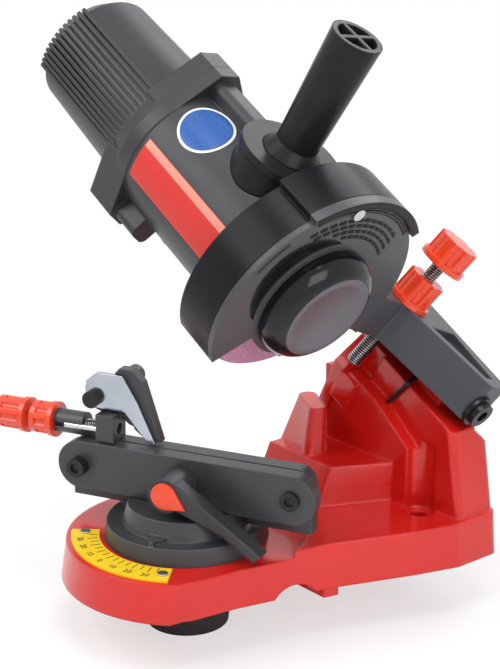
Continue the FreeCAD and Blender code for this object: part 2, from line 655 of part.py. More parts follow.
gland = fuse(cyl_y(7.0, motor_r - 2, motor_r + 10), [cyl_y(9.0, motor_r - 2.5, motor_r + 4)])
gland_hole = cyl_y(9.0, motor_r - 2.5, motor_r + 20)
gland_hole.Placement = motor_at.inverse().multiply(gland_at).multiply(gland_hole.Placement)
export("cable_inlet", gland.cut(cyl_y(3.5, motor_r - 3, motor_r + 12)), gland_at)
housing = housing.cut(housing_cut).cut(gland_hole)
export("motor_housing", housing, motor_at)
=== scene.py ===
"""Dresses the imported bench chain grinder: finishes, threads, spring, scale marks, label strip and studio."""

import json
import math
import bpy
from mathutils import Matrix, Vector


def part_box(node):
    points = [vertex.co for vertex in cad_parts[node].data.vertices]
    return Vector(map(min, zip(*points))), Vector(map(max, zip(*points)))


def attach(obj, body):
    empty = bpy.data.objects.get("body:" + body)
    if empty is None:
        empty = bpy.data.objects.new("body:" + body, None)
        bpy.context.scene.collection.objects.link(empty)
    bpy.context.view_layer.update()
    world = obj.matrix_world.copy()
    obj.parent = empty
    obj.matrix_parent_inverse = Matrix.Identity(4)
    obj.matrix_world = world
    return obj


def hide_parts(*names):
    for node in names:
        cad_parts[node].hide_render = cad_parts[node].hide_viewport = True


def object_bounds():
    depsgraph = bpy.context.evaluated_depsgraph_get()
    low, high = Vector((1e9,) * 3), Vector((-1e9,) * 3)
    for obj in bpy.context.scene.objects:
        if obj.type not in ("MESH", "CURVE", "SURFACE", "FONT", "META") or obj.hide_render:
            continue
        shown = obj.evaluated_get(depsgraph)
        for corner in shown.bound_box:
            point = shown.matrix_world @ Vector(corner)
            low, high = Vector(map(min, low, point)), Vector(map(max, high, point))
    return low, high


bl_info = {
    "name": "Bench chain grinder",
    "version": (1, 0, 0),
    "blender": (4, 5, 0),
    "location": "View3D > Sidebar > Grinder",
    "description": "Finishes and small detail for a bench grinder for saw chains",
    "category": "Object",
}

import bpy
import numpy as np
from mathutils import Matrix, Vector

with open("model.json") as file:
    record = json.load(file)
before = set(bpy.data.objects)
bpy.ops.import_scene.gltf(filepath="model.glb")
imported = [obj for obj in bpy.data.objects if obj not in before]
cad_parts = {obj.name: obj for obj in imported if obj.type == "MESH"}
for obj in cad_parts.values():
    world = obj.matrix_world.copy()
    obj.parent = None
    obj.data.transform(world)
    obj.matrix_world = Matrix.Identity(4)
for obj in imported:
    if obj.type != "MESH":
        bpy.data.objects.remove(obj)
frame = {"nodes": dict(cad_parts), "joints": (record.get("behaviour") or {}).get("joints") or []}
cad_box = [list(corner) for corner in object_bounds()]
joints = {joint["name"]: joint for joint in frame["joints"]}
nodes = frame["nodes"]

REAR = np.array([0.0, 1.0, 0.0])
UP = np.array([0.0, 0.0, 1.0])

MM = 0.001

# Metres: the motor's radius, the front of the guard cover before the wheel's middle, the thickness of labels
# and of print, and how far a raised plate is let in.
MOTOR_R = 0.0370
COVER_FRONT = 0.013
LABEL_T = 0.00025
PRINT_T = 0.0001
SINK = 0.0002

# Colour sockets of the Mix node.
MIX_A, MIX_B, MIX_RESULT = 6, 7, 2

# Name, place, size and power of each lamp, and the camera that was fitted to the photograph.
LAMPS = (("key", (-0.5, -1.1, 1.3), 0.9, 11), ("side", (1.3, -0.3, 0.7), 0.8, 7),
         ("back", (-0.3, 1.0, 1.2), 0.8, 6), ("top", (0.25, -0.2, 1.1), 0.5, 4.5))
LAMP_AIM = (0.0, -0.05, 0.12)
AMBIENT = 0.55
FLOOR_HALF = 6.0
CAMERA_PLACE = (0.61131, -0.59821, 0.38256)
CAMERA_AZIMUTH, CAMERA_PITCH = 49.85, 17.63
FOCAL_PX, PHOTO_HEIGHT_PX, SENSOR_MM = 1690.6, 669.0, 36.0


class Axes:
    """A place in the part's frame: an origin and three directions, all read from the joints."""

    def __init__(self, origin, x, y, z):
        self.origin = np.array(origin, float)
        self.turn = np.stack([np.array(v, float) for v in (x, y, z)])

    def put(self, points):
        """Local points (n, 3) become part points: origin plus each coordinate times its direction."""
        return self.origin + np.asarray(points, float) @ self.turn


def rear_axes(name):
    """Origin on the named joint, x along its axis, y to the rear."""
    along = np.array(joints[name]["axis"])
    return Axes(joints[name]["pos_m"], along, REAR, np.cross(along, REAR))


def vise_axes():
    """Origin on the swivel axis at the bench, x along the jaws to the right, y towards the fixed jaw."""
    across = np.array(joints["jaw_close"]["axis"])
    return Axes(joints["vise_swivel"]["pos_m"], np.cross(across, UP), across, UP)


def screw_axes():
    """Origin on the depth screw, z along it and upwards."""
    joint = joints["depth_knob_turn"]
    up = np.array(joint["axis"])
    side = np.array(joints["head_swing"]["axis"])
    return Axes(joint["pos_m"], side, np.cross(up, side), up)


# The spindle's origin is the middle of the wheel, and its x points to the guard cover.
spindle = rear_axes("spindle_spin")
vise = vise_axes()
depth = screw_axes()
lobe = Axes(joints["vise_swivel"]["pos_m"], (1, 0, 0), REAR, UP)


# Meshes

def grid_faces(rows, cols, wrap):
    """Quads of a grid of rows by cols points; wrap joins the last column to the first."""
    last = cols if wrap else cols - 1
    i, j = np.meshgrid(np.arange(rows - 1), np.arange(last), indexing="ij")
    k = (j + 1) % cols
    quads = np.stack([i * cols + j, i * cols + k, (i + 1) * cols + k, (i + 1) * cols + j], axis=-1)
    return quads.reshape(-1, 4)


def closed_faces(rows, around):
    """Quads of a grid that is joined round, with a cap on its first row and one on its last."""
    last = (rows - 1) * around
    caps = [list(range(around - 1, -1, -1)), list(range(last, last + around))]
    return grid_faces(rows, around, True).tolist() + caps


def piece(name, points, faces, body, material, crest=None):
    """Makes one object from part points and faces, rides it on a body and gives it a finish."""
    mesh = bpy.data.meshes.new(name)
    mesh.from_pydata(points.tolist(), [], faces)
    mesh.update()
    mesh.polygons.foreach_set("use_smooth", np.ones(len(mesh.polygons), bool))
    mesh.set_sharp_from_angle(angle=math.radians(35))
    if crest is not None:
        mesh.attributes.new("crest", "FLOAT", "POINT").data.foreach_set("value", crest)
    made = bpy.data.objects.new(name, mesh)
    bpy.context.scene.collection.objects.link(made)
    made.data.materials.append(material)
    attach(made, body)
    return made


def on_head(name, shape, material):
    """Makes a piece on the head from a shape, which is points from the spindle and faces."""
    points, faces = shape
    piece(name, spindle.put(points), faces, "head", material)


def merged(parts):
    """Joins (points, faces) pairs into one pair, shifting each pair's face numbers."""
    points, faces, start = [], [], 0
    for p, f in parts:
        points.append(p)
        faces += [[v + start for v in face] for face in f]
        start += len(p)
    return np.concatenate(points), faces


def slab(outline, low, high):
    """A flat plate: the outline (n, 2) at two heights, with a rim between; counter-clockwise from above."""
    n = len(outline)
    bottom = np.column_stack([outline, np.full(n, low)])
    top = np.column_stack([outline, np.full(n, high)])
    rim = [[i, (i + 1) % n, n + (i + 1) % n, n + i] for i in range(n)]
    return np.concatenate([bottom, top]), rim + [list(range(n - 1, -1, -1)), list(range(n, 2 * n))]


def cover_plate(outline, low, high):
    """A flat plate on the guard cover: a slab whose height runs along the spindle."""
    points, faces = slab(outline, COVER_FRONT + low, COVER_FRONT + high)
    return points[:, [2, 0, 1]], faces


def rotated(outline, degrees):
    """Turns an outline counter-clockwise about its origin."""
    c, s = math.cos(math.radians(degrees)), math.sin(math.radians(degrees))
    return outline @ np.array([[c, s], [-s, c]])


def arc_outline(r_in, r_out, start, end, steps):
    """The outline of a ring sector between two angles in degrees."""
    a = np.radians(np.linspace(start, end, steps))
    outer = np.column_stack([r_out * np.cos(a), r_out * np.sin(a)])
    inner = np.column_stack([r_in * np.cos(a[::-1]), r_in * np.sin(a[::-1])])
    return np.concatenate([outer, inner])


def crescent_outline(r_in, r_cut, offset, mid, steps):
    """The outline of what a circle of radius r_cut, set off by offset, leaves outside the circle of r_in."""
    x = (r_in ** 2 - r_cut ** 2 + offset ** 2) / (2 * offset)
    y = math.sqrt(r_in ** 2 - x ** 2)
    a = np.linspace(-math.atan2(y, x - offset), math.atan2(y, x - offset), steps)
    b = np.linspace(math.atan2(y, x), -math.atan2(y, x), steps)[1:-1]
    flat = np.concatenate([np.column_stack([offset + r_cut * np.cos(a), r_cut * np.sin(a)]),
                           np.column_stack([r_in * np.cos(b), r_in * np.sin(b)])])
    return rotated(flat, mid)


def drop_outline(radius, reach, steps):
    """The outline of a drop: a circle and the two lines from it to a point at reach along x."""
    open_angle = math.acos(radius / reach)
    a = np.linspace(open_angle, 2 * math.pi - open_angle, steps)
    return np.concatenate([[[reach, 0.0]], np.column_stack([radius * np.cos(a), radius * np.sin(a)])])


def thread(radius, pitch, low, high, around=40, per_turn=10):
    """A threaded rod along z: its radius is a triangle wave of the height in pitches less the turn."""
    turns = (high - low) / pitch
    z = np.linspace(low, high, int(turns * per_turn) + 1)
    a = np.linspace(0, 2 * math.pi, around, endpoint=False)
    zz, aa = np.meshgrid(z, a, indexing="ij")
    phase = np.abs(((zz / pitch - aa / (2 * math.pi)) % 1.0) * 2 - 1)
    ends = np.clip(np.minimum(zz - low, high - zz) / pitch, 0, 1)
    crest = np.clip(phase * 1.25 - 0.1, 0, 1)
    groove, taper = 0.55 * pitch, 0.5 * pitch
    r = radius - groove * (1 - crest) - taper * (1 - ends)
    points = np.stack([r * np.cos(aa), r * np.sin(aa), zz], axis=-1).reshape(-1, 3)
    return points, closed_faces(len(z), around), crest.ravel()


def eased(points, passes):
    """Corner cutting: each pass puts points 1/4 and 3/4 along each side and keeps the ends."""
    for _ in range(passes):
        near = 0.75 * points[:-1] + 0.25 * points[1:]
        far = 0.25 * points[:-1] + 0.75 * points[1:]
        points = np.concatenate([points[:1], np.stack([near, far], axis=1).reshape(-1, 3), points[-1:]])
    return points


def wire(path, radius, around=16):
    """A round wire: a ring about each path point, square to the path and turned so that x is steady."""
    ahead = np.gradient(path, axis=0)
    ahead /= np.linalg.norm(ahead, axis=1)[:, None]
    side = np.cross(ahead, (1.0, 0.0, 0.0))
    side /= np.linalg.norm(side, axis=1)[:, None]
    lift = np.cross(ahead, side)
    a = np.linspace(0, 2 * math.pi, around, endpoint=False)[None, :, None]
    points = path[:, None] + radius * (np.cos(a) * side[:, None] + np.sin(a) * lift[:, None])
    return points.reshape(-1, 3), closed_faces(len(path), around)


def on_cylinder(s, a, radius):
    """Points on a cylinder about x: s along the axis, and the angle a from y towards z."""
    return np.stack([s, radius * np.cos(a), radius * np.sin(a)], axis=-1).reshape(-1, 3)


def skin(radius, s0, s1, a0, a1, lift, rows=24, cols=40):
    """A thin plate on a cylinder about x: s along the axis, a round it, raised by lift with closed edges."""
    s = np.linspace(s0, s1, rows)
    a = np.radians(np.linspace(a0, a1, cols))
    ss, aa = np.meshgrid(s, a, indexing="ij")
    return shell(on_cylinder(ss, aa, radius + lift), on_cylinder(ss, aa, radius), rows, cols)


def shell(outer, inner, rows, cols):
    """Closes two equal grids into one thin solid by joining their rims."""
    n = rows * cols
    top = grid_faces(rows, cols, False)[:, ::-1]
    low = grid_faces(rows, cols, False) + n
    rim = np.concatenate([np.arange(cols), np.arange(2, rows) * cols - 1,
                          np.arange(n - 1, n - cols - 1, -1), np.arange(rows - 2, 0, -1) * cols])
    after = np.roll(rim, -1)
    sides = np.stack([rim, after, after + n, rim + n], axis=-1)
    return np.concatenate([outer, inner]), np.concatenate([top, low, sides]).tolist()


def button(radius, s_mid, a_mid, size, lift, rings=8, around=64):
    """A round plate laid on a cylinder about x: rings of points, each bent on to the cylinder."""
    t = np.linspace(0, 2 * math.pi, around, endpoint=False)
    r2, t2 = np.meshgrid(np.linspace(0, 1, rings + 1)[1:] * size, t, indexing="ij")
    s = s_mid + r2 * np.cos(t2)
    mid = math.radians(a_mid)
    a = mid + r2 * np.sin(t2) / radius
    foot = on_cylinder(s[-1], a[-1], radius)
    centre = on_cylinder(np.array(s_mid), np.array(mid), radius + lift)
    points = np.concatenate([on_cylinder(s, a, radius + lift), foot, centre])
    hub = len(points) - 1
    fan = [[hub, i, (i + 1) % around] for i in range(around)]
    return points, grid_faces(rings + 1, around, True).tolist() + fan


def numerals(text, size):
    """The outline of a number as a flat mesh, centred on its own middle, as points and faces."""
    curve = bpy.data.curves.new("number", "FONT")
    curve.body = text
    curve.size = size
    curve.align_x = "CENTER"
    curve.align_y = "CENTER"
    curve.extrude = PRINT_T
    curve.resolution_u = 3
    holder = bpy.data.objects.new("number", curve)
    bpy.context.scene.collection.objects.link(holder)
    bpy.context.view_layer.update()
    mesh = bpy.data.meshes.new_from_object(holder.evaluated_get(bpy.context.evaluated_depsgraph_get()))
    points = np.zeros(len(mesh.vertices) * 3)
    mesh.vertices.foreach_get("co", points)
    faces = [list(p.vertices) for p in mesh.polygons]
    bpy.data.objects.remove(holder)
    bpy.data.meshes.remove(mesh)
    bpy.data.curves.remove(curve)
    return points.reshape(-1, 3), faces


# Finishes

def node(tree, kind, **settings):
    """Adds a node and sets its sockets or properties by name."""
    made = tree.nodes.new(kind)
    for key, value in settings.items():
        if key in made.inputs:
            made.inputs[key].default_value = value
        else:
            setattr(made, key, value)
    return made


def span(tree, value, low, high, start=0.0, end=1.0, **settings):
    """Maps a value from between low and high to between start and end."""
    made = node(tree, "ShaderNodeMapRange", **settings)
    for key, number in zip(("From Min", "From Max", "To Min", "To Max"), (low, high, start, end)):
        made.inputs[key].default_value = number
    tree.links.new(value, made.inputs["Value"])
    return made.outputs["Result"]


def blended(tree, share, first, second):
    """Mixes two shaders; a share of 1 shows the second alone."""
    made = node(tree, "ShaderNodeMixShader")
    for socket, source in zip(made.inputs, (share, first, second)):
        tree.links.new(source, socket)
    return made.outputs["Shader"]


def finish(name, dark, light, rough, metal=0.0, coat=0.0, grain=400.0, depth_mm=0.03, patch=18.0,
           edge_mm=0.6, wear_and_highlight=None, shine=0.5, groove=None):
    """A finish: colour drifts from dark to light in soft patches, roughness in finer ones, with a fine bump.

    Edges are softened over edge_mm, and a lighter edge colour, partly wear and partly painted highlight, shows
    where the softened normal leaves the true one.
    """
    made = bpy.data.materials.new(name)
    made.use_nodes = True
    tree = made.node_tree
    shader = tree.nodes["Principled BSDF"]
    shader.inputs["Metallic"].default_value = metal
    shader.inputs["Specular IOR Level"].default_value = shine
    shader.inputs["Coat Weight"].default_value = coat
    shader.inputs["Coat Roughness"].default_value = 0.06
    where = node(tree, "ShaderNodeTexCoord")
    clouds = node(tree, "ShaderNodeTexNoise", Scale=patch, Detail=4.0)
    tree.links.new(where.outputs["Object"], clouds.inputs["Vector"])
    ramp = node(tree, "ShaderNodeValToRGB")
    ramp.color_ramp.elements[0].position = 0.3
    ramp.color_ramp.elements[1].position = 0.72
    ramp.color_ramp.elements[0].color = (*dark, 1)
    ramp.color_ramp.elements[1].color = (*light, 1)
    tree.links.new(clouds.outputs["Fac"], ramp.inputs["Fac"])
    colour = ramp.outputs["Color"]
    speckle = node(tree, "ShaderNodeTexNoise", Scale=grain, Detail=3.0)
    tree.links.new(where.outputs["Object"], speckle.inputs["Vector"])
    tree.links.new(span(tree, speckle.outputs["Fac"], 0.3, 0.7, *rough), shader.inputs["Roughness"])
    normal = None
    if edge_mm > 0:
        soft = node(tree, "ShaderNodeBevel", samples=6, Radius=edge_mm / 1000)
        normal = soft.outputs["Normal"]
        # Lighter edge colour: partly wear, partly a painted highlight along the edges.
        if wear_and_highlight:
            colour = edge_wear(tree, soft, speckle, colour, wear_and_highlight)
    if depth_mm > 0:
        bump = node(tree, "ShaderNodeBump", Strength=1.0, Distance=depth_mm / 1000)
        tree.links.new(speckle.outputs["Fac"], bump.inputs["Height"])
        if normal:
            tree.links.new(normal, bump.inputs["Normal"])
        normal = bump.outputs["Normal"]
    # Painted shade in the thread grooves, where the crest attribute falls.
    if groove:
        colour = groove_shade(tree, colour, groove)
    tree.links.new(colour, shader.inputs["Base Color"])
    if normal:
        tree.links.new(normal, shader.inputs["Normal"])
    return made


def groove_shade(tree, colour, groove):
    """Mixes in a painted shade colour in the thread grooves, where the piece's own crest attribute falls from
    1 to 0.
    """
    crest = node(tree, "ShaderNodeAttribute", attribute_name="crest")
    mix = node(tree, "ShaderNodeMix", data_type="RGBA")
    mix.inputs[MIX_A].default_value = (*groove, 1)
    tree.links.new(crest.outputs["Fac"], mix.inputs[0])
    tree.links.new(colour, mix.inputs[MIX_B])
    return mix.outputs[MIX_RESULT]


def edge_wear(tree, soft, speckle, colour, wear_and_highlight):
    """Mixes in a lighter edge colour, partly wear and partly painted highlight, where the softened and the
    true normal differ, broken up by the grain.
    """
    true = node(tree, "ShaderNodeNewGeometry")
    along = node(tree, "ShaderNodeVectorMath", operation="DOT_PRODUCT")
    tree.links.new(soft.outputs["Normal"], along.inputs[0])
    tree.links.new(true.outputs["True Normal"], along.inputs[1])
    broken = node(tree, "ShaderNodeMath", operation="MULTIPLY", use_clamp=True)
    # Mask near the edges, where the softened normal turns from the true one: it places both the wear and the
    # painted highlight.
    tree.links.new(span(tree, along.outputs["Value"], 0.995, 0.80), broken.inputs[0])
    tree.links.new(speckle.outputs["Fac"], broken.inputs[1])
    mix = node(tree, "ShaderNodeMix", data_type="RGBA")
    mix.inputs[MIX_B].default_value = (*wear_and_highlight, 1)
    tree.links.new(broken.outputs["Value"], mix.inputs[0])
    tree.links.new(colour, mix.inputs[MIX_A])
    return mix.outputs[MIX_RESULT]


def printed(name, dark, light, rough):
    """A smooth printed finish for labels."""
    return finish(name, dark, light, rough, grain=800, depth_mm=0.01, edge_mm=0.0)


def dress(material, *names):
    """Gives the named nodes one finish."""
    for name in names:
        nodes[name].data.materials.clear()
        nodes[name].data.materials.append(material)


def fade_out(tree, shader, lift):
    """Lifts the floor towards white for the camera, and clears it from 0.35 m to 0.75 m from the origin."""
    rays = node(tree, "ShaderNodeLightPath")
    part = node(tree, "ShaderNodeMath", operation="MULTIPLY")
    part.inputs[1].default_value = lift
    tree.links.new(rays.outputs["Is Camera Ray"], part.inputs[0])
    white = node(tree, "ShaderNodeEmission", Color=(1, 1, 1, 1), Strength=1.0)
    lifted = blended(tree, part.outputs["Value"], shader.outputs["BSDF"], white.outputs["Emission"])
    where = node(tree, "ShaderNodeTexCoord")
    reach = node(tree, "ShaderNodeVectorMath", operation="LENGTH")
    tree.links.new(where.outputs["Object"], reach.inputs[0])
    share = span(tree, reach.outputs["Value"], 0.35, 0.75, interpolation_type="SMOOTHSTEP")
    clear = node(tree, "ShaderNodeBsdfTransparent")
    faded = blended(tree, share, lifted, clear.outputs["BSDF"])
    tree.links.new(faded, tree.nodes["Material Output"].inputs["Surface"])


class GrinderLooks(bpy.types.PropertyGroup):
    """Sizes and colours that a user would change."""

    red: bpy.props.FloatVectorProperty(
        name="Base red", description="Paint of the cast base", subtype="COLOR", size=3,
        default=(0.62, 0.012, 0.008), min=0, max=1)
    black: bpy.props.FloatVectorProperty(
        name="Moulded black", description="Motor shells, handle and lever", subtype="COLOR", size=3,
        default=(0.030, 0.030, 0.034), min=0, max=1)
    grey: bpy.props.FloatVectorProperty(
        name="Arm grey", description="Cast hinge arm", subtype="COLOR", size=3,
        default=(0.052, 0.054, 0.062), min=0, max=1)
    knob: bpy.props.FloatVectorProperty(
        name="Knob red", description="Adjusting and locking knobs", subtype="COLOR", size=3,
        default=(0.78, 0.050, 0.010), min=0, max=1)
    abrasive: bpy.props.FloatVectorProperty(
        name="Wheel pink", description="Bonded abrasive wheel", subtype="COLOR", size=3,
        default=(0.50, 0.22, 0.34), min=0, max=1)
    plate: bpy.props.FloatVectorProperty(
        name="Scale yellow", description="Angle scale", subtype="COLOR", size=3,
        default=(0.88, 0.60, 0.01), min=0, max=1)
    screw_pitch: bpy.props.FloatProperty(
        name="Screw pitch", description="Pitch of the depth and stop screws", subtype="DISTANCE",
        unit="LENGTH", default=0.00125, min=0.0005, max=0.003)
    scale_step: bpy.props.IntProperty(
        name="Scale step", description="Degrees between marks on the angle scale", default=5, min=1, max=10)


def looks():
    """The settings of the scene."""
    return bpy.context.scene.grinder_looks


def shade(colour, factor):
    """A colour times a factor, kept below white."""
    return tuple(min(1.0, c * factor) for c in colour)


class GRINDER_OT_castings(bpy.types.Operator):
    """Red base, grey arm and black vise castings"""
    bl_idname = "grinder.castings"
    bl_label = "Castings"

    def execute(self, context):
        red = tuple(looks().red)
        grey = tuple(looks().grey)
        # The lighter edge colours given below are partly wear and partly painted highlight along the edges.
        dress(finish("red_paint", shade(red, 0.88), shade(red, 1.08), (0.20, 0.27), coat=0.35, grain=160,
                     depth_mm=0.012, patch=9, edge_mm=2.6, wear_and_highlight=shade(red, 1.35), shine=0.35),
              "base_casting")
        dress(finish("grey_paint", shade(grey, 0.85), shade(grey, 1.15), (0.38, 0.50), grain=900,
                     depth_mm=0.03, edge_mm=1.4, wear_and_highlight=shade(grey, 2.2)), "arm")
        dress(finish("black_paint", (0.030, 0.031, 0.034), (0.044, 0.045, 0.050), (0.32, 0.44), grain=700,
                     depth_mm=0.03, edge_mm=0.9, wear_and_highlight=(0.14, 0.14, 0.15)),
              "turntable", "fixed_jaw", "moving_jaw", "stop_bracket", "stop_carriage")
        return {"FINISHED"}


class GRINDER_OT_mouldings(bpy.types.Operator):
    """Black plastic shells, glossy cap and red knobs"""
    bl_idname = "grinder.mouldings"
    bl_label = "Mouldings"

    def execute(self, context):
        black = tuple(looks().black)
        knob = tuple(looks().knob)
        # The lighter edge colours given below are partly wear and partly painted highlight along the edges.
        dress(finish("moulded_black", shade(black, 0.8), shade(black, 1.4), (0.34, 0.46), grain=1500,
                     depth_mm=0.02, edge_mm=1.0, wear_and_highlight=shade(black, 3.0), shine=0.35),
              "motor_housing", "motor_cap", "clamp_lever", "swivel_knob", "switch_frame", "cable_inlet",
              "fan")
        dress(finish("grip_gloss", shade(black, 0.45), shade(black, 0.75), (0.26, 0.31), grain=60,
                     depth_mm=0.004, edge_mm=1.2, shine=0.12), "handle_base", "handle")
        dress(finish("guard_satin", (0.008, 0.008, 0.010), (0.014, 0.014, 0.017), (0.26, 0.31), grain=60,
                     depth_mm=0.004, edge_mm=1.2, wear_and_highlight=(0.04, 0.04, 0.045), shine=0.12), "wheel_guard")
        dress(finish("cover_satin", (0.050, 0.050, 0.056), (0.066, 0.066, 0.074), (0.30, 0.42), grain=900,
                     depth_mm=0.008, edge_mm=0.8, wear_and_highlight=(0.14, 0.14, 0.15), shine=0.35), "guard_cover")
        dress(finish("cap_gloss", (0.006, 0.006, 0.008), (0.010, 0.010, 0.012), (0.10, 0.16), grain=500,
                     depth_mm=0.0, edge_mm=1.5, shine=0.3), "hub_cap")
        dress(finish("knob_red", shade(knob, 0.9), shade(knob, 1.1), (0.24, 0.36), coat=0.3, grain=600,
                     depth_mm=0.02, edge_mm=0.8),
              "stop_knob", "stop_lock_knob", "depth_knob", "depth_lock_knob", "lever_insert")
        dress(finish("rocker_red", (0.30, 0.012, 0.012), (0.38, 0.018, 0.016), (0.20, 0.30), grain=500),
              "switch_rocker")
        return {"FINISHED"}


class GRINDER_OT_metals(bpy.types.Operator):
    """Plated, blackened and ground steel, the scale plate and the wheel"""
    bl_idname = "grinder.metals"
    bl_label = "Metals and wheel"

    def execute(self, context):
        pink = tuple(looks().abrasive)
        yellow = tuple(looks().plate)
        dress(finish("pawl_chrome", (0.34, 0.37, 0.42), (0.46, 0.49, 0.54), (0.14, 0.20), metal=1.0,
                     grain=120, depth_mm=0.0, patch=40, edge_mm=0.6), "pawl")
        dress(finish("zinc_plate", (0.50, 0.50, 0.51), (0.60, 0.60, 0.62), (0.22, 0.30), metal=1.0,
                     grain=300, depth_mm=0.0, edge_mm=0.4),
              "scale_screws", "cover_screws", "clamp_nut", "guide_rods", "clamp_stud", "swivel_stud",
              "stop_screw", "depth_screw")
        dress(finish("black_oxide", (0.016, 0.016, 0.018), (0.028, 0.028, 0.031), (0.30, 0.44), metal=0.6,
                     grain=700, depth_mm=0.01, edge_mm=0.3),
              "return_spring", "jaw_bolts", "pawl_pin", "hinge_bolt", "hinge_washer", "cap_screws")
        dress(finish("ground_steel", (0.34, 0.34, 0.35), (0.44, 0.44, 0.45), (0.28, 0.40), metal=1.0,
                     grain=600),
              "bearings", "shaft", "rotor", "stator", "wheel_flange", "wheel_nut")
        dress(finish("cast_aluminium", (0.46, 0.46, 0.47), (0.58, 0.58, 0.59), (0.40, 0.55), metal=1.0,
                     grain=500),
              "rear_bearing_plate")
        dress(finish("scale_yellow", shade(yellow, 0.94), shade(yellow, 1.04), (0.34, 0.44), grain=700,
                     depth_mm=0.01, edge_mm=0.2), "scale_plate")
        dress(finish("abrasive_pink", shade(pink, 0.75), shade(pink, 1.3), (0.75, 0.95), grain=2600,
                     depth_mm=0.25, patch=900, edge_mm=0.3), "grinding_wheel")
        return {"FINISHED"}


class GRINDER_OT_threads(bpy.types.Operator):
    """Threaded depth and stop screws"""
    bl_idname = "grinder.threads"
    bl_label = "Threads"

    def execute(self, context):
        # The dark groove colour is painted shade in the thread grooves.
        steel = finish("thread_steel", (0.52, 0.52, 0.53), (0.62, 0.62, 0.63), (0.20, 0.28), metal=1.0,
                       depth_mm=0.0, edge_mm=0.0, groove=(0.05, 0.05, 0.05))
        pitch = looks().screw_pitch
        points, faces, crest = thread(0.004, pitch, low=-0.0786, high=0.0020)
        made = piece("depth_thread", depth.put(points), faces, "depth_screw", steel, crest)
        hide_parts("depth_screw")
        along = joints["stop_adjust"]["axis"]
        stop = Axes(joints["stop_adjust"]["pos_m"], UP, np.cross(along, UP), along)
        points, faces, crest = thread(0.003, pitch, low=-0.0040, high=0.0580, around=32)
        made = piece("stop_thread", stop.put(points), faces, "stop_adjuster", steel, crest)
        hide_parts("stop_screw")
        return {"FINISHED"}


class GRINDER_OT_spring(bpy.types.Operator):
    """Return spring with its leg in front of the tower wall"""
    bl_idname = "grinder.spring"
    bl_label = "Return spring"

    def execute(self, context):
        hinge = rear_axes("head_swing")
        # Millimetres from the hinge: the coil along its pin, and the corner points of the leg.
        coil_r, pitch, start, count, wire_r = 6.4, 2.9, 14.6, 4, 1.2
        turns = np.linspace(0, count, 161)
        angle = math.pi + 2 * math.pi * (turns - count)
        coil = np.column_stack([start + pitch * turns, coil_r * np.cos(angle), coil_r * np.sin(angle)])
        leg = np.array([(26.2, -6.4, -0.3), (26.2, -6.4, -4.0), (26.2, -6.4, -8.6), (26.2, -6.4, -10.4),
                        (27.0, -8.6, -10.4), (28.4, -12.4, -10.4), (29.2, -14.75, -10.4),
                        (29.0, -14.75, -12.6), (28.4, -14.75, -14.7), (24.2, -14.75, -29.3)])
        points, faces = wire(np.concatenate([coil, eased(leg, 3)]) * MM, wire_r * MM)
        steel = bpy.data.materials["black_oxide"]
        made = piece("spring_wire", hinge.put(points), faces, "base", steel)
        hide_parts("return_spring")
        return {"FINISHED"}


class GRINDER_OT_label(bpy.types.Operator):
    """Bare red strip with a paler stripe, and a plain blue roundel, on the motor"""
    bl_idname = "grinder.label"
    bl_label = "Label strip"

    def execute(self, context):
        strip = printed("strip_red", (0.60, 0.020, 0.014), (0.68, 0.030, 0.020), (0.26, 0.36))
        stripe = printed("stripe_pale", (0.72, 0.24, 0.18), (0.80, 0.30, 0.23), (0.26, 0.36))
        blue = printed("roundel_blue", (0.004, 0.07, 0.30), (0.006, 0.09, 0.36), (0.24, 0.34))
        white = printed("roundel_white", (0.74, 0.75, 0.76), (0.82, 0.82, 0.83), (0.26, 0.36))
        print_r = MOTOR_R + LABEL_T
        on_head("label_strip", skin(MOTOR_R, -0.093, -0.021, 150, 184.5, LABEL_T), strip)
        on_head("label_stripe", skin(print_r, -0.0925, -0.0215, 150.4, 156.5, PRINT_T), stripe)
        middle_s, middle_a, rim_size, size = -0.077, 113.0, 0.0144, 0.0131
        on_head("roundel_rim", button(MOTOR_R, middle_s, middle_a, rim_size, LABEL_T), white)
        on_head("roundel", button(print_r, middle_s, middle_a, size, PRINT_T), blue)
        return {"FINISHED"}


class GRINDER_OT_scale(bpy.types.Operator):
    """Marks and plain numbers of the angle scale"""
    bl_idname = "grinder.scale"
    bl_label = "Angle scale"

    def execute(self, context):
        ink = finish("scale_ink", (0.012, 0.012, 0.012), (0.022, 0.022, 0.022), (0.45, 0.60), grain=900,
                     depth_mm=0.0, edge_mm=0.0)
        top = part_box("scale_plate")[1].z
        mark_half, inner_r, short_r, long_r = 0.00022, 0.0460, 0.0502, 0.0512
        number_size, number_r, limit = 0.0046, 0.0550, 35
        parts = []
        for mark in range(-limit, limit + 1, looks().scale_step):
            a = math.radians(mark - 90)
            out = np.array([math.cos(a), math.sin(a)])
            side = np.array([-out[1], out[0]]) * mark_half
            near, far = out * inner_r, out * (short_r if mark % 10 else long_r)
            outline = np.array([near - side, far - side, far + side, near + side])
            parts.append(slab(outline, top - SINK, top + PRINT_T))
            if mark % 10 == 0:
                points, faces = numerals(str(abs(mark)), number_size)
                turned = np.column_stack([points[:, 0] * -out[1] - points[:, 1] * out[0],
                                          points[:, 0] * out[0] - points[:, 1] * out[1],
                                          points[:, 2] + top])
                turned[:, :2] += out * number_r
                parts.append((turned, faces))
        points, faces = merged(parts)
        piece("scale_marks", lobe.put(points), faces, "base", ink)
        return {"FINISHED"}


